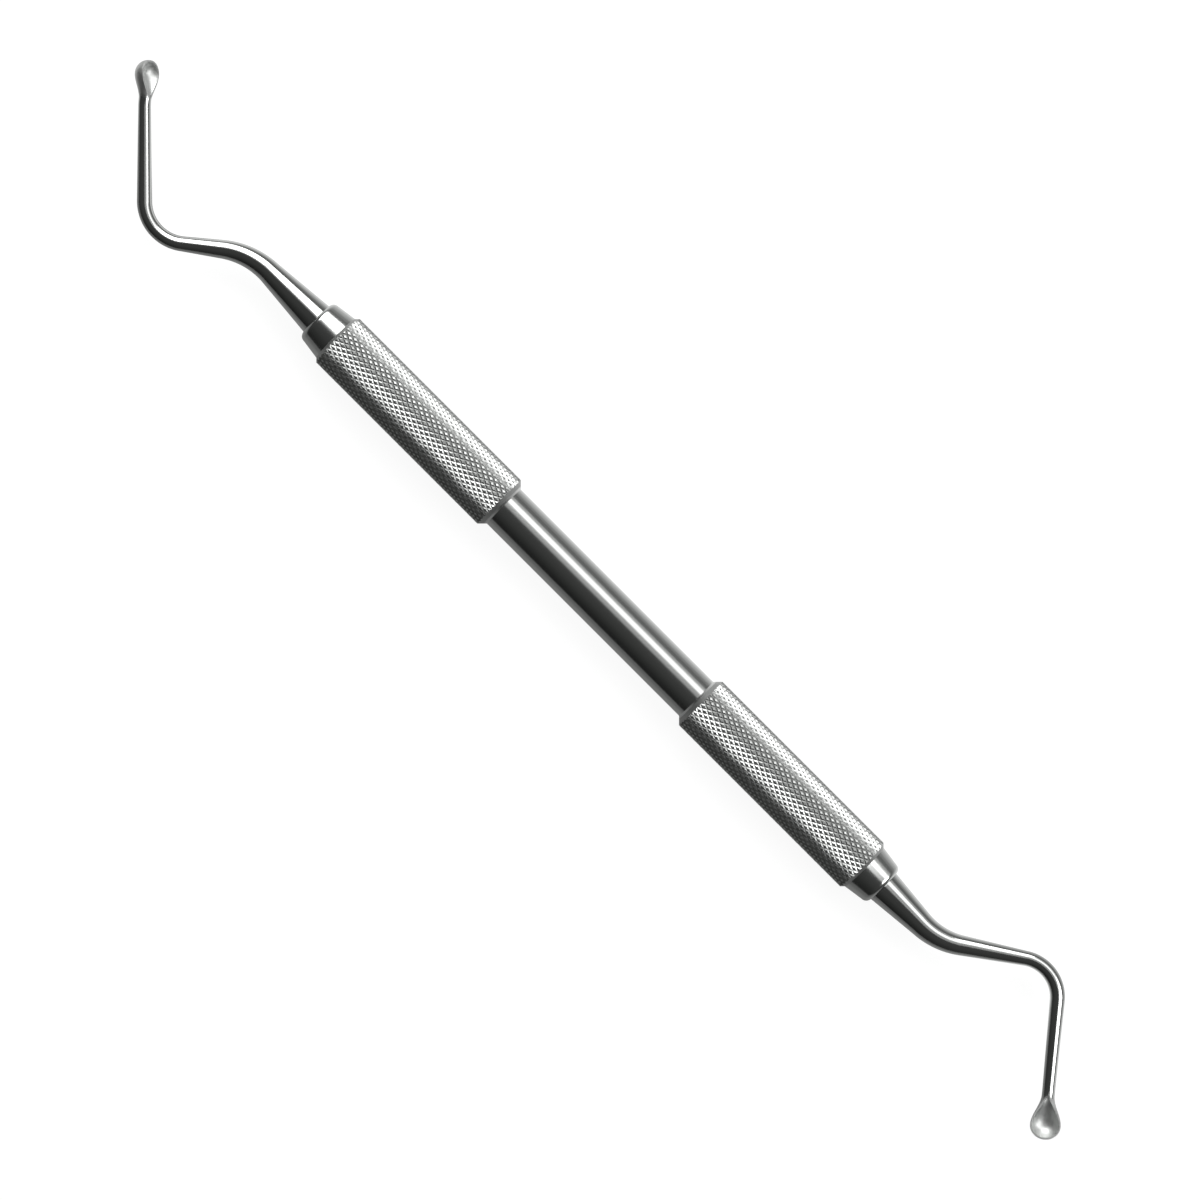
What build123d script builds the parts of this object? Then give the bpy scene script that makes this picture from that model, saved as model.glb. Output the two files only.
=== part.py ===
"""Double-ended bone curette: a turned and knurled handle with a bent, tapered spoon pressed into each end.

It lies on a surface at z = 0, with its handle along X and its bends in one level plane.
The origin is under the middle of the handle. Sizes are in millimetres and degrees.
"""
from build123d import *
from math import cos, exp, radians, sin, sqrt, tan
import os

# Handle, turned from one bar
handle_length = 100.0
grip_diameter = 7.7
grip_length = 28.8
core_diameter = 6.0
shoulder_angle = 45.0
collar_length = 3.4
collar_root_diameter = 6.85
collar_nose_diameter = 6.1
collar_nose_radius = 0.8

# Press fit of a working end in the handle
tang_diameter = 3.0
tang_length = 12.0
tang_lead = 0.3
bore_spare_depth = 0.5
drill_point_angle = 118.0

# Tapered shank, ground the same on both ends before it is bent
shank_end_radius = 0.74
shank_taper_length = 12.0

# Spoon: sizes that both ends share
spoon_lift_angle = 9.0
spoon_lift_radius = 6.0
face_tilt_angle = 3.0
bowl_start = 0.25
side_land = 0.14
tip_land = 0.26

# Bends of end A, at -X, with lengths to the corners of its route
end_a_straight = 11.7
end_a_rise_angle = 37.4
end_a_rise_radius = 10.2
end_a_run = 13.3
end_a_hook_angle = 82.4
end_a_hook_radius = 5.4
end_a_stem = 16.95
end_a_spoon_roll = 55.0
end_a_spoon_width = 3.3
end_a_neck_to_widest = 3.2
end_a_widest_to_tip = 1.7
end_a_bowl_depth = 1.0

# Bends of end B, at +X
end_b_straight = 9.65
end_b_rise_angle = 33.7
end_b_rise_radius = 9.6
end_b_run = 15.6
end_b_hook_angle = 84.2
end_b_hook_radius = 4.9
end_b_stem = 15.8
end_b_spoon_roll = 5.0
end_b_spoon_width = 3.82
end_b_neck_to_widest = 3.8
end_b_widest_to_tip = 1.75
end_b_bowl_depth = 1.15

# The grips carry the handle, so its axis is one grip radius above the surface
axis_height = grip_diameter / 2
handle_end = handle_length / 2
shank_root_radius = collar_nose_diameter / 2 - collar_nose_radius

os.makedirs("parts", exist_ok=True)


# Handle: grips, turned-down core and rounded collars in one turning profile, with a blind bore in each end
core_radius = core_diameter / 2
grip_radius = grip_diameter / 2
collar_root_radius = collar_root_diameter / 2
collar_nose_height = collar_nose_diameter / 2
bore_radius = tang_diameter / 2
grip_outer = handle_end - collar_length
grip_inner = grip_outer - grip_length
inner_shoulder = (grip_radius - core_radius) / tan(radians(shoulder_angle))
outer_shoulder = (grip_radius - collar_root_radius) / tan(radians(shoulder_angle))
nose_start = handle_end - collar_nose_radius
bore_floor = handle_end - tang_length - bore_spare_depth
drill_point = bore_floor - bore_radius / tan(radians(drill_point_angle / 2))

turning_plane = Plane(origin=(0, 0, axis_height), x_dir=(1, 0, 0), z_dir=(0, -1, 0))
handle_axis = Axis((0, 0, axis_height), (1, 0, 0))

with BuildPart() as handle:
    with BuildSketch(turning_plane):
        with BuildLine():
            Polyline(
                (0, core_radius),
                (grip_inner - inner_shoulder, core_radius),
                (grip_inner, grip_radius),
                (grip_outer - outer_shoulder, grip_radius),
                (grip_outer, collar_root_radius),
                (nose_start, collar_nose_height),
            )
            CenterArc((nose_start, collar_nose_height - collar_nose_radius), collar_nose_radius, 0, 90)
            Polyline(
                (handle_end, shank_root_radius),
                (handle_end, bore_radius),
                (bore_floor, bore_radius),
                (drill_point, 0),
                (0, 0),
            )
            mirror(about=Plane.YZ)
        make_face()
    revolve(axis=handle_axis)

handle.part.label = "handle"
export_step(handle.part, "parts/handle.step")


def shank_radius(distance):
    """Radius that the shank is ground to, at a distance along it from the handle."""
    return shank_end_radius + (shank_root_radius - shank_end_radius) * exp(-distance / shank_taper_length)


def working_end(
    seat,
    straight,
    rise_angle,
    rise_radius,
    run,
    hook_angle,
    hook_radius,
    stem,
    spoon_roll,
    spoon_width,
    neck_to_widest,
    widest_to_tip,
    bowl_depth,
):
    """One tang, shank and spoon. The seat's x axis points out of the handle, and its y axis to the rise."""

    def heading(angle):
        return seat.x_dir * cos(radians(angle)) + seat.y_dir * sin(radians(angle))

    # The stem, the side that the bowl faces, and the spoon's own axis, which lifts towards that side
    stem_angle = rise_angle - hook_angle
    along = heading(stem_angle)
    inward = heading(stem_angle - 90)
    roll = radians(spoon_roll)
    facing = seat.z_dir * cos(roll) + inward * sin(roll)
    lift = radians(spoon_lift_angle)
    spoon_dir = along * cos(lift) + facing * sin(lift)
    side = facing.cross(along)

    rise_corner = seat.origin + seat.x_dir * straight
    hook_corner = rise_corner + heading(rise_angle) * run
    lift_corner = hook_corner + along * stem
    lift_setback = spoon_lift_radius * tan(lift / 2)
    neck = lift_corner + spoon_dir * lift_setback
    widest = neck + spoon_dir * neck_to_widest

    with BuildLine() as bends:
        FilletPolyline(
            seat.origin,
            rise_corner,
            hook_corner,
            lift_corner,
            widest,
            radius=[rise_radius, hook_radius, spoon_lift_radius],
        )
    route = bends.wire()
    bend_arcs = route.edges().filter_by(GeomType.CIRCLE)

    # Distances along the route to the start and end of each bend, and the radius of the bar there
    rise_setback = rise_radius * tan(radians(rise_angle / 2))
    hook_setback = hook_radius * tan(radians(hook_angle / 2))
    rise_start = straight - rise_setback
    rise_end = rise_start + rise_radius * radians(rise_angle)
    hook_start = rise_end + run - rise_setback - hook_setback
    hook_end = hook_start + hook_radius * radians(hook_angle)
    lift_start = hook_end + stem - hook_setback - lift_setback
    hook_bar_radius = shank_radius((hook_start + hook_end) / 2)
    neck_radius = shank_radius(lift_start)

    def across(distance):
        """A plane square to the route, at a distance along it."""
        share = distance / route.length
        return Plane(origin=route @ share, x_dir=-seat.z_dir, z_dir=route % share)

    # The spoon's flat face leaves the top of the neck and slopes up towards the tip
    tilt = radians(face_tilt_angle)
    neck_top = neck + spoon_dir.cross(side) * neck_radius
    face_dir = along * cos(tilt) + facing * sin(tilt)
    face_up = facing * cos(tilt) - along * sin(tilt)
    face_to_widest = (widest - neck_top).dot(face_dir)
    face_above_axis = (neck_top - widest).dot(face_up)
    face_half_width = sqrt((spoon_width / 2) ** 2 - face_above_axis**2)

    # The bowl is ground by a wheel whose axis runs above the face
    bowl_half_width = face_half_width - side_land
    bowl_to_tip = widest_to_tip - tip_land
    wheel_radius = (bowl_half_width**2 + bowl_depth**2) / (2 * bowl_depth)
    wheel_height = wheel_radius - bowl_depth
    wheel_nose = bowl_to_tip * wheel_radius / bowl_half_width
    wheel_origin = neck_top + face_up * wheel_height

    with BuildPart() as end:
        # Straight tapers out of the handle, between the bends and along the stem
        for start, stop, start_radius, stop_radius in (
            (0, rise_start, shank_root_radius, shank_radius(rise_start)),
            (rise_end, hook_start, shank_radius(rise_end), hook_bar_radius),
            (hook_end, lift_start, hook_bar_radius, neck_radius),
        ):
            with Locations(across(start)):
                Cone(
                    start_radius,
                    stop_radius,
                    stop - start,
                    align=(Align.CENTER, Align.CENTER, Align.MIN),
                )

        # The rise bends while it tapers
        for distance in (rise_start, rise_end):
            with BuildSketch(across(distance)):
                Circle(shank_radius(distance))
        sweep(path=bend_arcs[0], multisection=True)

        # The hook and the lift each keep one radius
        with BuildSketch(across(hook_start)):
            Circle(hook_bar_radius)
        sweep(path=bend_arcs[1])
        with BuildSketch(across(lift_start)):
            Circle(neck_radius)
        sweep(path=bend_arcs[2])

        # Spoon: a swelling from the neck to the widest section, and a rounded tip
        with BuildSketch(Plane(origin=widest, x_dir=spoon_dir, z_dir=-side)):
            with BuildLine():
                Spline(
                    (-neck_to_widest, neck_radius),
                    (0, spoon_width / 2),
                    tangents=((1, 0), (1, 0)),
                )
                EllipticalCenterArc((0, 0), widest_to_tip, spoon_width / 2, arc_size=90)
                Polyline(
                    (widest_to_tip, 0),
                    (-neck_to_widest, 0),
                    (-neck_to_widest, neck_radius),
                )
            make_face()
        revolve(axis=Axis(widest, spoon_dir))

        # Tang, inside the handle's bore
        with BuildSketch(Plane(origin=seat.origin, x_dir=seat.y_dir, z_dir=-seat.x_dir)):
            Circle(tang_diameter / 2)
        extrude(amount=tang_length)
        tang_tip = end.edges().filter_by(GeomType.CIRCLE).sort_by(Axis(seat.origin, seat.x_dir))[0]
        chamfer(tang_tip, length=tang_lead)

        # Flat face of the spoon
        with BuildSketch(Plane(origin=neck_top, x_dir=face_dir, z_dir=face_up)):
            Rectangle(
                face_to_widest + 2 * widest_to_tip,
                2 * spoon_width,
                align=(Align.MIN, Align.CENTER),
            )
        extrude(amount=spoon_width, mode=Mode.SUBTRACT)

        # Hollow of the bowl
        with BuildSketch(Plane(origin=wheel_origin, x_dir=face_dir, z_dir=-side)):
            with BuildLine():
                Spline(
                    (bowl_start, wheel_height),
                    (face_to_widest, wheel_radius),
                    tangents=((1, 0), (1, 0)),
                )
                EllipticalCenterArc((face_to_widest, 0), wheel_nose, wheel_radius, arc_size=90)
                Polyline(
                    (face_to_widest + wheel_nose, 0),
                    (bowl_start, 0),
                    (bowl_start, wheel_height),
                )
            make_face()
        revolve(axis=Axis(wheel_origin, face_dir), mode=Mode.SUBTRACT)

    return end


seat_a = Plane(origin=(-handle_end, 0, axis_height), x_dir=(-1, 0, 0), z_dir=(0, 0, 1))
seat_b = Plane(origin=(handle_end, 0, axis_height), x_dir=(1, 0, 0), z_dir=(0, 0, 1))

working_end_a = working_end(
    seat_a,
    end_a_straight,
    end_a_rise_angle,
    end_a_rise_radius,
    end_a_run,
    end_a_hook_angle,
    end_a_hook_radius,
    end_a_stem,
    end_a_spoon_roll,
    end_a_spoon_width,
    end_a_neck_to_widest,
    end_a_widest_to_tip,
    end_a_bowl_depth,
)
working_end_a.part.label = "working_end_a"
export_step(working_end_a.part, "parts/working_end_a.step")

working_end_b = working_end(
    seat_b,
    end_b_straight,
    end_b_rise_angle,
    end_b_rise_radius,
    end_b_run,
    end_b_hook_angle,
    end_b_hook_radius,
    end_b_stem,
    end_b_spoon_roll,
    end_b_spoon_width,
    end_b_neck_to_widest,
    end_b_widest_to_tip,
    end_b_bowl_depth,
)
working_end_b.part.label = "working_end_b"
export_step(working_end_b.part, "parts/working_end_b.step")
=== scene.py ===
import bpy
import math
from mathutils import Matrix, Vector


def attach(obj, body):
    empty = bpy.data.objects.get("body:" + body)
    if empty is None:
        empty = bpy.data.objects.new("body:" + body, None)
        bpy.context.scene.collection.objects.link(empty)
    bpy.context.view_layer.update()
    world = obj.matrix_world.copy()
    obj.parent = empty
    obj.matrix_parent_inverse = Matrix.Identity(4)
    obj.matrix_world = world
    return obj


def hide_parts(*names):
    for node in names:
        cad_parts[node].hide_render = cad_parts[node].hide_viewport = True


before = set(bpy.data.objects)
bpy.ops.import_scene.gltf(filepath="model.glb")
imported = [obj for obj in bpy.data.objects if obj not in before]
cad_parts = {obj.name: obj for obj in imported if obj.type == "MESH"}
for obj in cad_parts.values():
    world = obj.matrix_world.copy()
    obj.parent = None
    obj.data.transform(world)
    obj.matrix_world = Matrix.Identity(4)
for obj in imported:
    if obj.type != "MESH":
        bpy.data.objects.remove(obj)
bpy.ops.object.select_all(action="DESELECT")
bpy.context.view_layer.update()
mm = 0.001


# Camera: looks straight down at the instrument, which lies flat and runs across the picture from
# its upper left to its lower right. It stands far off, so that the view is nearly without depth.
camera_height = 600 * mm
camera_aim = (-0.23 * mm, 0.24 * mm)
camera_turn = math.radians(45)
picture_width = 149.7 * mm
sensor_width = 36
axis_height = 3.85 * mm

camera_data = bpy.data.cameras.new("camera")
camera_data.sensor_width = sensor_width
camera_data.lens = sensor_width * camera_height / picture_width
camera_data.clip_start = 0.01
camera_data.clip_end = 10
camera = bpy.data.objects.new("camera", camera_data)
bpy.context.scene.collection.objects.link(camera)
camera_place = Matrix.Translation((*camera_aim, axis_height + camera_height))
camera.matrix_world = camera_place @ Matrix.Rotation(camera_turn, 4, "Z")
bpy.context.scene.camera = camera
bpy.context.scene.view_settings.view_transform = "Standard"


# Floor: a plain white sheet of card under the instrument. It shows white to the camera and keeps
# the soft shadow that the instrument throws on it; in the polished steel it shows a painted band of
# light with painted shade to both sides.
class Signal:
    """A shader socket that takes part in Python expressions: arithmetic on it adds Math nodes."""

    def __init__(self, tree, socket):
        self.tree = tree
        self.socket = socket

    def node(self, kind, settings=None, inputs=None, output=0):
        """Adds any other node: its type, its settings, and the values or links of its sockets."""
        added = self.tree.nodes.new(kind)
        for name, value in (settings or {}).items():
            if name == "stops":
                ramp = added.color_ramp
                while len(ramp.elements) < len(value):
                    ramp.elements.new(0.5)
                for stop, (position, colour) in zip(ramp.elements, value):
                    stop.position = position
                    stop.color = colour
            else:
                setattr(added, name, value)
        for name, value in (inputs or {}).items():
            if isinstance(value, Signal):
                self.tree.links.new(value.socket, added.inputs[name])
            else:
                added.inputs[name].default_value = value
        return Signal(self.tree, added.outputs[output])

    def output(self, name):
        """Another output of the node that this socket is on."""
        return Signal(self.tree, self.socket.node.outputs[name])

    def feed(self, target):
        """Links this socket to an input."""
        self.tree.links.new(self.socket, target)

    def calculate(self, operation, *others):
        """The result of a Math node, with this as its first input."""
        inputs = dict(enumerate((self, *others)))
        return self.node("ShaderNodeMath", {"operation": operation}, inputs)

    def between(self, low, high, settings=None):
        """0 where this is low, 1 where it is high."""
        inputs = {"Value": self, "From Min": low, "From Max": high}
        return self.node("ShaderNodeMapRange", settings, inputs)

    def mix(self, first, second):
        """The first colour where this is 0, the second where it is 1."""
        inputs = {0: self, 6: first, 7: second}
        return self.node("ShaderNodeMix", {"data_type": "RGBA"}, inputs, output=2)

    def __add__(self, other):
        return self.calculate("ADD", other)

    def __sub__(self, other):
        return self.calculate("SUBTRACT", other)

    def __rsub__(self, other):
        return self.calculate("MULTIPLY", -1) + other

    def __mul__(self, other):
        return self.calculate("MULTIPLY", other)

    def __pow__(self, other):
        return self.calculate("POWER", other)

    __radd__ = __add__
    __rmul__ = __mul__


def new_material(name):
    """An empty material: itself, its surface shader, and its Object coordinates as a Signal."""
    material = bpy.data.materials.new(name)
    material.use_nodes = True
    shader = material.node_tree.nodes["Principled BSDF"]
    place = material.node_tree.nodes.new("ShaderNodeTexCoord")
    return material, shader, Signal(material.node_tree, place.outputs["Object"])


def grey(level):
    return (level, level, level, 1)


floor_size = 3000 * mm
card_colour = (0.93, 0.94, 0.93, 1)
card_roughness = 0.9
card_glow = 1.1
card_glow_share = 0.85
painted_band_span = (-20 * mm, 30 * mm)

bpy.ops.mesh.primitive_plane_add(size=floor_size, location=(0, 0, 0))
floor = bpy.context.object
floor.name = "floor"
card, card_shader, card_place = new_material("white_card")
card_shader.inputs["Base Color"].default_value = card_colour
card_shader.inputs["Roughness"].default_value = card_roughness
card_shader.inputs["Specular IOR Level"].default_value = 0.0
camera_ray = card_place.node("ShaderNodeLightPath", output="Is Camera Ray")
glossy_ray = camera_ray.output("Is Glossy Ray")
transmission_ray = camera_ray.output("Is Transmission Ray")
seen = camera_ray.calculate("MAXIMUM", glossy_ray).calculate("MAXIMUM", transmission_ray)

# In the steel, the card shows a painted band of light under the instrument and painted shade fading
# to both sides, darkest on its shadow side
across_card = card_place.node("ShaderNodeSeparateXYZ", inputs={"Vector": card_place}, output="Y")
painted_band_place = across_card.between(*painted_band_span)
painted_light_band = painted_band_place.node(
    "ShaderNodeValToRGB",
    {
        "stops": (
            (0.0, grey(0.05)),
            (0.25, grey(0.18)),
            (0.37, grey(0.32)),
            (0.42, grey(0.80)),
            (0.52, grey(0.80)),
            (0.60, grey(0.50)),
            (1.0, grey(0.14)),
        )
    },
    {"Fac": painted_band_place},
)
card_glow_colour = camera_ray.mix(painted_light_band, grey(card_glow))
glow = card_place.node("ShaderNodeEmission", inputs={"Color": card_glow_colour, "Strength": 1.0})
lit = Signal(card.node_tree, card_shader.outputs["BSDF"])
blend = seen * card_glow_share
surface = blend.node("ShaderNodeMixShader", inputs={0: blend, 1: lit, 2: glow})
surface.feed(card.node_tree.nodes["Material Output"].inputs["Surface"])
floor.data.materials.append(card)


# Light: a long soft lamp above the picture's upper right with the paler spread of its cloth, a
# soft lamp beyond each end, and a dim room, which the polished steel mirrors between its bright
# bands. The room is darkest at the side away from the lamps.
world = bpy.data.worlds.new("room")
bpy.context.scene.world = world
world.use_nodes = True
room_tree = world.node_tree
room_place = Signal(room_tree, room_tree.nodes.new("ShaderNodeTexCoord").outputs["Generated"])
room_across = room_place.node("ShaderNodeSeparateXYZ", inputs={"Vector": room_place}, output="Y")
room_shade = room_across.node(
    "ShaderNodeValToRGB",
    {
        "stops": (
            (0.0, (0.014, 0.014, 0.014, 1)),
            (0.07, (0.028, 0.029, 0.028, 1)),
            (0.25, (0.048, 0.049, 0.048, 1)),
            (0.5, (0.052, 0.053, 0.052, 1)),
            (0.85, (0.12, 0.122, 0.12, 1)),
            (1.0, (0.15, 0.152, 0.15, 1)),
        )
    },
    {"Fac": room_across * 0.5 + 0.5},
)
room_shade.feed(room_tree.nodes["Background"].inputs["Color"])
room_tree.nodes["Background"].inputs["Strength"].default_value = 1.0


def soft_lamp(name, centre, width, height, brightness):
    """A lamp that faces the instrument, its width along the handle. Brightness 1 is white."""
    lamp_data = bpy.data.lights.new(name, "AREA")
    lamp_data.shape = "RECTANGLE"
    lamp_data.size = width
    lamp_data.size_y = height
    lamp_data.energy = brightness * math.pi * width * height
    lamp = bpy.data.objects.new(name, lamp_data)
    away = Vector(centre).normalized()
    up = away.cross(Vector((1, 0, 0))).normalized()
    axes = Matrix((up.cross(away), up, away)).transposed().to_4x4()
    lamp.matrix_world = Matrix.Translation(centre) @ axes
    bpy.context.scene.collection.objects.link(lamp)


def lamp_centre(lean, distance):
    """Where a lamp stands: its lean from straight above towards the picture's upper right."""
    return (0, distance * math.sin(math.radians(lean)), distance * math.cos(math.radians(lean)))


soft_lamp("key_lamp", lamp_centre(41, 700 * mm), 1600 * mm, 290 * mm, 1.2)
soft_lamp("lamp_spread", lamp_centre(38, 690 * mm), 1600 * mm, 800 * mm, 0.32)
soft_lamp("left_lamp", (-430 * mm, 430 * mm, 480 * mm), 680 * mm, 680 * mm, 2.9)
soft_lamp("right_lamp", (500 * mm, 300 * mm, 500 * mm), 420 * mm, 520 * mm, 2.6)


# Handle: turned from one bar of stainless steel. Its middle is turned down to a core, and each end
# is a polished collar with a rounded nose and a blind bore for a working end.
handle_end = 50 * mm
bore_radius = 1.5 * mm
bore_floor = 37.5 * mm
drill_point = 36.6 * mm
drill_tip_radius = 0.01 * mm
nose_radius = 0.8 * mm
nose_height = 3.05 * mm
shank_root = 2.25 * mm
collar_root = 3.425 * mm
grip_outer = 46.6 * mm
grip_inner = 17.8 * mm
grip_radius = 3.85 * mm
grip_blank_radius = 3.86 * mm
core_radius = 3.0 * mm
around = 144
nose_steps = 10
smooth_angle = math.radians(30)


def turn(name, stations, height):
    """Turns a closed solid about a line along X, through rings at stations of (x, radius)."""
    bpy.ops.object.select_all(action="DESELECT")
    start, radius = stations[0]
    bpy.ops.mesh.primitive_circle_add(
        vertices=around,
        radius=radius,
        location=(start, 0, height),
        rotation=(0, math.radians(90), 0),
        fill_type="NGON",
    )
    solid = bpy.context.object
    solid.name = name
    bpy.ops.object.transform_apply(location=True, rotation=True, scale=True)
    bpy.ops.object.mode_set(mode="EDIT")
    bpy.ops.mesh.select_all(action="SELECT")
    for (x0, r0), (x1, r1) in zip(stations, stations[1:]):
        bpy.ops.mesh.extrude_region_move(TRANSFORM_OT_translate={"value": (x1 - x0, 0, 0)})
        bpy.ops.transform.resize(value=(1, r1 / r0, r1 / r0), center_override=(x1, 0, height))
    bpy.ops.mesh.select_all(action="SELECT")
    bpy.ops.mesh.normals_make_consistent(inside=False)
    bpy.ops.object.mode_set(mode="OBJECT")
    return solid


def cut(blank, cutter):
    """Cuts the cutter's shape out of the blank, which stays selected, and puts the cutter away."""
    bpy.ops.object.select_all(action="DESELECT")
    blank.select_set(True)
    bpy.context.view_layer.objects.active = blank
    cutting = blank.modifiers.new("cut", "BOOLEAN")
    cutting.operation = "DIFFERENCE"
    cutting.solver = "EXACT"
    cutting.object = cutter
    bpy.ops.object.modifier_apply(modifier=cutting.name)
    bpy.data.objects.remove(cutter)


half_profile = [
    (drill_point, drill_tip_radius),
    (bore_floor, bore_radius),
    (handle_end, bore_radius),
]
for step in range(nose_steps + 1):
    angle = math.radians(90 * step / nose_steps)
    nose_x = handle_end - nose_radius * (1 - math.cos(angle))
    half_profile.append((nose_x, nose_height - nose_radius * (1 - math.sin(angle))))
half_profile += [
    (grip_outer, collar_root),
    (grip_outer - (grip_blank_radius - collar_root), grip_blank_radius),
    (grip_inner + (grip_blank_radius - grip_radius), grip_blank_radius),
    (grip_inner - (grip_radius - core_radius), core_radius),
]
left_half = [(-x, radius) for x, radius in half_profile]
right_half = list(reversed(half_profile))
handle = turn("turned_handle", left_half + right_half, axis_height)


# Knurl: rolled into each grip, so its diamonds stand between two crossing sets of fine grooves.
# The roll that leaves it is a sleeve whose inner wall is a field of diamond teeth.
knurl_starts = 36
knurl_pitch = 1.12 * mm
knurl_rows = 27
groove_radius = 3.73 * mm
crest_radius = 3.846 * mm
crest_share = 0.42
sleeve_radius = 4.6 * mm
tooth_gap = 0.02 * mm
sliver = 0.003 * mm

tooth_angle = 2 * math.pi / knurl_starts
tooth_half_length = knurl_pitch / 2
tooth_half_width = groove_radius * math.sin(tooth_angle / 2)
tooth_side = math.hypot(tooth_half_length, tooth_half_width)
tooth_inner_radius = tooth_half_width * tooth_half_length / tooth_side


def knurling_roll(name, middle):
    """The sleeve of diamond teeth for the grip around the middle."""

    # One tooth, and the same tooth half a pitch on and half a tooth round
    bpy.ops.object.select_all(action="DESELECT")
    bpy.ops.mesh.primitive_circle_add(vertices=4, radius=1, fill_type="NGON", location=(0, 0, 0))
    roll = bpy.context.object
    roll.name = name
    bpy.ops.object.mode_set(mode="EDIT")
    bpy.ops.mesh.select_all(action="SELECT")
    bpy.ops.transform.resize(
        value=(tooth_half_length, tooth_half_width, 1), center_override=(0, 0, 0)
    )
    bpy.ops.transform.translate(value=(-knurl_rows / 2 * knurl_pitch, 0, groove_radius))
    bpy.ops.mesh.inset(
        thickness=tooth_inner_radius * (1 - crest_share), depth=crest_radius - groove_radius
    )
    bpy.ops.mesh.select_all(action="SELECT")
    bpy.ops.mesh.duplicate_move(TRANSFORM_OT_translate={"value": (tooth_half_length, 0, 0)})
    bpy.ops.transform.rotate(value=tooth_angle / 2, orient_axis="X", center_override=(0, 0, 0))

    # Rows along the grip, and rings around it
    bpy.ops.object.mode_set(mode="OBJECT")
    rows = roll.modifiers.new("rows", "ARRAY")
    rows.count = knurl_rows
    rows.use_relative_offset = False
    rows.use_constant_offset = True
    rows.constant_offset_displace = (knurl_pitch, 0, 0)
    bpy.ops.object.modifier_apply(modifier=rows.name)
    bpy.ops.object.mode_set(mode="EDIT")
    bpy.ops.mesh.select_mode(type="EDGE")
    bpy.ops.mesh.select_all(action="SELECT")
    bpy.ops.mesh.spin(
        steps=knurl_starts - 1,
        dupli=True,
        angle=2 * math.pi - tooth_angle,
        center=(0, 0, 0),
        axis=(1, 0, 0),
    )
    bpy.ops.mesh.select_all(action="SELECT")
    bpy.ops.mesh.remove_doubles(threshold=tooth_gap)

    # The open ends are closed by an outer wall, clear of the grip
    bpy.ops.mesh.select_all(action="DESELECT")
    bpy.ops.mesh.select_non_manifold(extend=False)
    bpy.ops.mesh.extrude_region_move(TRANSFORM_OT_translate={"value": (0, 0, 0)})
    spread = sleeve_radius / groove_radius
    bpy.ops.transform.resize(value=(1, spread, spread), center_override=(0, 0, 0))
    bpy.ops.mesh.bridge_edge_loops()
    bpy.ops.mesh.select_all(action="SELECT")
    bpy.ops.mesh.normals_make_consistent(inside=False)
    bpy.ops.transform.translate(value=(middle, 0, axis_height))
    bpy.ops.object.mode_set(mode="OBJECT")
    return roll


grip_middle = (grip_outer + grip_inner) / 2
for roll_name, middle in (("left_roll", -grip_middle), ("right_roll", grip_middle)):
    cut(handle, knurling_roll(roll_name, middle))
bpy.ops.object.mode_set(mode="EDIT")
bpy.ops.mesh.select_all(action="SELECT")
bpy.ops.mesh.remove_doubles(threshold=sliver)
bpy.ops.object.mode_set(mode="OBJECT")
bpy.ops.object.shade_smooth_by_angle(angle=smooth_angle)

# Turned steel: fine lathe marks round the bar, faint smudges, and a duller knurl with painted shade
# darkening its grooves
steel_colour = (0.66, 0.67, 0.66, 1)
groove_painted_shade_colour = (0.30, 0.305, 0.30, 1)
groove_painted_shade_strength = 0.6
lathe_mark_scale = 9000.0
smudge_scale = 260.0
polish_roughness = 0.13
lathe_mark_roughness = 0.04
smudge_roughness = 0.06
knurl_roughness = 0.13
groove_roughness = 0.10
lathe_mark_strength = 0.03
mark_depth = 0.01 * mm
knurl_runout = 0.6 * mm

turned_steel, turned_shader, place = new_material("turned_steel")
turned_shader.inputs["Metallic"].default_value = 1.0
along_handle = place.node("ShaderNodeSeparateXYZ", inputs={"Vector": place}, output="X")
across_handle = along_handle.output("Y")
above_axis = along_handle.output("Z") - axis_height
from_axis = (across_handle * across_handle + above_axis * above_axis) ** 0.5
from_middle = along_handle.calculate("ABSOLUTE")
past_core = from_middle.calculate("GREATER_THAN", grip_inner - knurl_runout)
short_of_collar = from_middle.calculate("LESS_THAN", grip_outer)
in_grip = past_core * short_of_collar
groove = from_axis.between(crest_radius, groove_radius) * in_grip
lathe_marks = along_handle.node(
    "ShaderNodeTexNoise",
    {"noise_dimensions": "1D"},
    {"W": along_handle, "Scale": lathe_mark_scale, "Detail": 3.0},
)
smudge = place.node(
    "ShaderNodeTexNoise",
    inputs={"Vector": place, "Scale": smudge_scale, "Detail": 4.0, "Roughness": 0.6},
)
# Painted shade: the steel's colour is darkened towards the bottom of the knurl's grooves
shade = (groove * groove_painted_shade_strength).mix(steel_colour, groove_painted_shade_colour)
shade.feed(turned_shader.inputs["Base Color"])
polish = polish_roughness + lathe_marks * lathe_mark_roughness + smudge * smudge_roughness
roughness = polish + in_grip * knurl_roughness + groove * groove_roughness
roughness.feed(turned_shader.inputs["Roughness"])
lathe_bump = place.node(
    "ShaderNodeBump",
    inputs={"Strength": lathe_mark_strength, "Distance": mark_depth, "Height": lathe_marks},
)
lathe_bump.feed(turned_shader.inputs["Normal"])
handle.data.materials.clear()
handle.data.materials.append(turned_steel)
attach(handle, "root")
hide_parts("handle")


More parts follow.
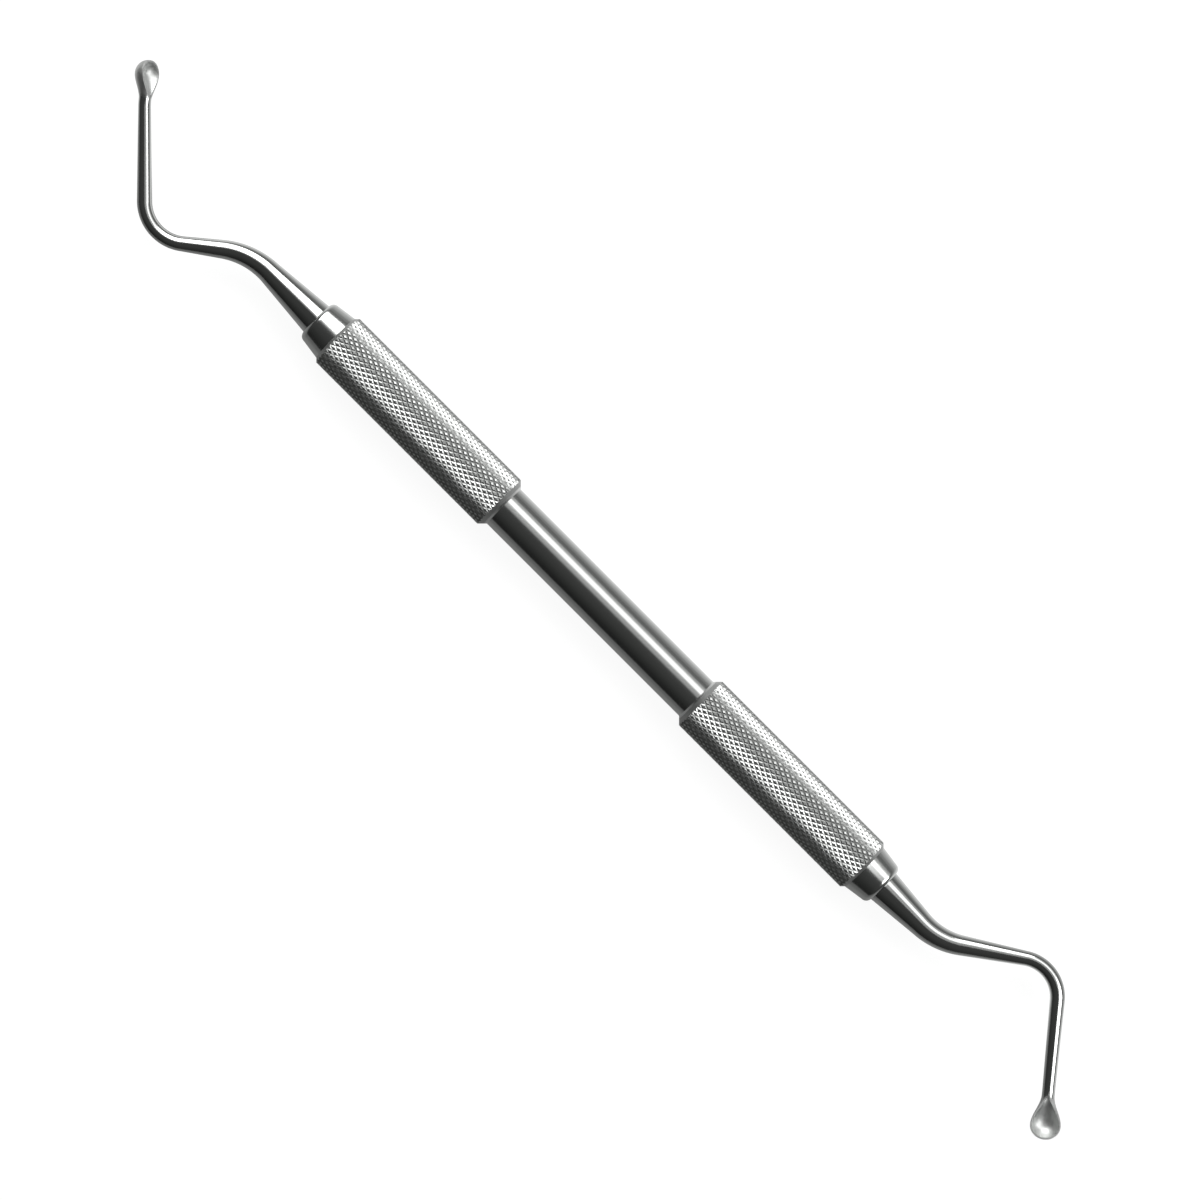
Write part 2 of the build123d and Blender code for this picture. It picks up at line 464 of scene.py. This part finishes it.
# Working ends: each is one bar of hardened stainless steel, ground to a taper, bent, and pressed
# into the handle by its tang. The tip is a spoon with a flat rim, hollowed out by a small wheel.
tang_start = 38 * mm
tang_radius = 1.5 * mm
tang_lead = 0.3 * mm
shank_end_radius = 0.74 * mm
shank_taper_length = 12 * mm
lift_angle = math.radians(9)
lift_radius = 6 * mm
face_tilt = math.radians(3)
bowl_start = 0.25 * mm
side_land = 0.14 * mm
tip_land = 0.26 * mm
rise_steps = 24
hook_steps = 48
lift_steps = 8
swelling_steps = 24
tip_steps = 22
tip_sweep = 89.2
face_gap = 0.01 * mm
straight_up = Vector((0, 0, 1))


def shank_radius(distance):
    """Radius that the shank is ground to, at a distance along it from the handle."""
    taper = math.exp(-distance / shank_taper_length)
    return shank_end_radius + (shank_root - shank_end_radius) * taper


def spoon_profile(start, widest, tip_length):
    """Points of (distance, radius): a smooth swelling to the widest section, then a rounded tip."""
    reach = widest[0] - start[0]
    rise = widest[1] - start[1]
    chord = math.hypot(reach, rise)
    points = []
    for step in range(1, swelling_steps + 1):
        t = step / swelling_steps
        ease = 3 * t**2 - 2 * t**3
        lead = chord * (2 * t**3 - 3 * t**2 + t)
        points.append((start[0] + reach * ease + lead, start[1] + rise * ease))
    for step in range(1, tip_steps + 1):
        angle = math.radians(tip_sweep * step / tip_steps)
        points.append((widest[0] + tip_length * math.sin(angle), widest[1] * math.cos(angle)))
    return points


class BarEnd:
    """The free end of a bar in edit mode: its face is selected, and each move draws the bar on."""

    def __init__(self, centre, direction, radius):
        self.centre = Vector(centre)
        self.direction = Vector(direction)
        self.radius = radius

    def narrow(self, radius):
        scale = radius / self.radius
        bpy.ops.transform.resize(value=(scale, scale, scale), center_override=self.centre)
        self.radius = radius

    def draw(self, length, radius):
        """Draws the bar straight on."""
        step = self.direction * length
        bpy.ops.mesh.extrude_region_move(TRANSFORM_OT_translate={"value": step})
        self.centre = self.centre + step
        self.narrow(radius)

    def bend(self, axis, angle, bend_radius, steps, radius):
        """Bends the bar about an axis, and tapers it to the radius meanwhile."""
        first_radius = self.radius
        hub = self.centre + axis.cross(self.direction) * bend_radius
        turning = Matrix.Rotation(angle / steps, 3, axis)
        for step in range(1, steps + 1):
            bpy.ops.mesh.spin(steps=1, angle=-angle / steps, center=hub, axis=axis)
            self.centre = hub + turning @ (self.centre - hub)
            self.direction = turning @ self.direction
            self.narrow(first_radius + (radius - first_radius) * step / steps)


def forge_end(
    name,
    outward,
    straight,
    rise_angle,
    rise_radius,
    run,
    hook_angle,
    hook_radius,
    stem,
    roll,
    width,
    to_widest,
    to_tip,
    bowl_depth,
):
    """One working end, where it sits in the handle. Lengths run to the corners of its route."""
    rise_setback = rise_radius * math.tan(rise_angle / 2)
    hook_setback = hook_radius * math.tan(hook_angle / 2)
    lift_setback = lift_radius * math.tan(lift_angle / 2)
    rise_start = straight - rise_setback
    rise_end = rise_start + rise_radius * rise_angle
    hook_start = rise_end + run - rise_setback - hook_setback
    hook_end = hook_start + hook_radius * hook_angle
    lift_start = hook_end + stem - hook_setback - lift_setback
    hook_bar_radius = shank_radius((hook_start + hook_end) / 2)
    neck_radius = shank_radius(lift_start)

    # Tang and shank, drawn out of the tang's own end
    bpy.ops.object.select_all(action="DESELECT")
    bpy.ops.mesh.primitive_circle_add(
        vertices=around,
        radius=tang_radius - tang_lead,
        location=(outward * tang_start, 0, axis_height),
        rotation=(0, math.radians(90), 0),
        fill_type="NGON",
    )
    end = bpy.context.object
    end.name = name
    bpy.ops.object.transform_apply(location=True, rotation=True, scale=True)
    bpy.ops.object.mode_set(mode="EDIT")
    bpy.ops.mesh.select_mode(type="FACE")
    bpy.ops.mesh.select_all(action="SELECT")
    tang_place = (outward * tang_start, 0, axis_height)
    bar = BarEnd(tang_place, (outward, 0, 0), tang_radius - tang_lead)
    bar.draw(tang_lead, tang_radius)
    bar.draw(handle_end - tang_start - tang_lead, tang_radius)
    bar.draw(0, shank_root)
    bar.draw(rise_start, shank_radius(rise_start))
    bar.bend(straight_up, rise_angle, rise_radius, rise_steps, shank_radius(rise_end))
    bar.draw(hook_start - rise_end, hook_bar_radius)
    bar.bend(-straight_up, hook_angle, hook_radius, hook_steps, hook_bar_radius)
    bar.draw(lift_start - hook_end, neck_radius)

    # Neck, lifted towards the side that the bowl faces
    along = bar.direction.copy()
    inward = -straight_up.cross(along)
    facing = straight_up * math.cos(roll) + inward * math.sin(roll)
    side = facing.cross(along)
    bar.bend(-side, lift_angle, lift_radius, lift_steps, neck_radius)
    neck = bar.centre.copy()
    spoon_dir = bar.direction.copy()

    # Body of the spoon: it swells to its widest section and closes in a rounded tip
    widest = neck + spoon_dir * to_widest
    reached = 0
    for distance, radius in spoon_profile((0, neck_radius), (to_widest, width / 2), to_tip):
        bar.draw(distance - reached, radius)
        reached = distance
    bpy.ops.mesh.select_all(action="SELECT")
    bpy.ops.mesh.normals_make_consistent(inside=False)
    bpy.ops.object.mode_set(mode="OBJECT")

    # Flat rim: everything above the face is ground off, from the top of the neck to the tip
    neck_top = neck + spoon_dir.cross(side) * neck_radius
    face_dir = along * math.cos(face_tilt) + facing * math.sin(face_tilt)
    face_up = facing * math.cos(face_tilt) - along * math.sin(face_tilt)
    face_axes = Matrix((face_dir, side, face_up)).transposed().to_4x4()
    ground_off = (to_widest + 3 * to_tip, 3 * width, width)
    face_middle = neck_top + face_dir * (ground_off[0] / 2 + face_gap)
    bpy.ops.object.select_all(action="DESELECT")
    bpy.ops.mesh.primitive_cube_add(size=1)
    grinder = bpy.context.object
    grinder.scale = ground_off
    bpy.ops.object.transform_apply(location=True, rotation=True, scale=True)
    grinder_middle = face_middle + face_up * ground_off[2] / 2
    grinder.matrix_world = Matrix.Translation(grinder_middle) @ face_axes
    cut(end, grinder)

    # Bowl: a wheel whose axis runs above the face hollows the spoon
    face_to_widest = (widest - neck_top).dot(face_dir)
    face_above_axis = (neck_top - widest).dot(face_up)
    bowl_half_width = math.sqrt((width / 2) ** 2 - face_above_axis**2) - side_land
    wheel_radius = (bowl_half_width**2 + bowl_depth**2) / (2 * bowl_depth)
    wheel_height = wheel_radius - bowl_depth
    wheel_nose = (to_tip - tip_land) * wheel_radius / bowl_half_width
    wheel_start = (bowl_start, wheel_height)
    wheel_profile = spoon_profile(wheel_start, (face_to_widest, wheel_radius), wheel_nose)
    wheel = turn("wheel", [wheel_start] + wheel_profile, 0)
    wheel.matrix_world = Matrix.Translation(neck_top + face_up * wheel_height) @ face_axes
    cut(end, wheel)
    bpy.ops.object.shade_smooth_by_angle(angle=smooth_angle)
    return end, neck, spoon_dir


sizes_a = {
    "outward": -1,
    "straight": 11.7 * mm,
    "rise_angle": math.radians(37.4),
    "rise_radius": 10.2 * mm,
    "run": 13.3 * mm,
    "hook_angle": math.radians(82.4),
    "hook_radius": 5.4 * mm,
    "stem": 16.95 * mm,
    "roll": math.radians(55),
    "width": 3.3 * mm,
    "to_widest": 3.2 * mm,
    "to_tip": 1.7 * mm,
    "bowl_depth": 1.0 * mm,
}
sizes_b = {
    "outward": 1,
    "straight": 9.65 * mm,
    "rise_angle": math.radians(33.7),
    "rise_radius": 9.6 * mm,
    "run": 15.6 * mm,
    "hook_angle": math.radians(84.2),
    "hook_radius": 4.9 * mm,
    "stem": 15.8 * mm,
    "roll": math.radians(5),
    "width": 3.82 * mm,
    "to_widest": 3.8 * mm,
    "to_tip": 1.75 * mm,
    "bowl_depth": 1.15 * mm,
}

# Ground steel: streaks along the stem, on a shank that is polished and a spoon that is left satin
streak_scale = (300.0, 5000.0, 5000.0)
satin_start = -0.2 * mm
satin_full = 0.9 * mm
shank_roughness = 0.10
shank_streak_roughness = 0.06
satin_roughness = 0.28
satin_streak_roughness = 0.16
shank_streak_strength = 0.01
satin_streak_strength = 0.14

for name, node, steel_name, sizes in (
    ("end_a", "working_end_a", "ground_steel_a", sizes_a),
    ("end_b", "working_end_b", "ground_steel_b", sizes_b),
):
    end, neck, spoon_dir = forge_end(name, **sizes)
    ground_steel, ground_shader, place = new_material(steel_name)
    ground_shader.inputs["Base Color"].default_value = steel_colour
    ground_shader.inputs["Metallic"].default_value = 1.0
    streak_turn = (0, 0, sizes["hook_angle"] - sizes["rise_angle"])
    along_stem = place.node(
        "ShaderNodeMapping",
        inputs={"Vector": place, "Rotation": streak_turn, "Scale": streak_scale},
    )
    streaks = along_stem.node(
        "ShaderNodeTexNoise", inputs={"Vector": along_stem, "Scale": 1.0, "Detail": 2.0}
    )
    from_neck = place.node("ShaderNodeVectorMath", {"operation": "SUBTRACT"}, {0: place, 1: neck})
    past_neck = from_neck.node(
        "ShaderNodeVectorMath",
        {"operation": "DOT_PRODUCT"},
        {0: from_neck, 1: spoon_dir},
        output="Value",
    )
    satin = past_neck.between(satin_start, satin_full, {"interpolation_type": "SMOOTHSTEP"})
    shank_finish = shank_roughness + streaks * shank_streak_roughness
    satin_finish = satin_roughness + streaks * satin_streak_roughness
    (shank_finish + satin * satin_finish).feed(ground_shader.inputs["Roughness"])
    grinding_bump = place.node(
        "ShaderNodeBump",
        inputs={
            "Strength": shank_streak_strength + satin * satin_streak_strength,
            "Distance": mark_depth,
            "Height": streaks,
        },
    )
    grinding_bump.feed(ground_shader.inputs["Normal"])
    end.data.materials.clear()
    end.data.materials.append(ground_steel)
    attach(end, "root")
    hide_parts(node)
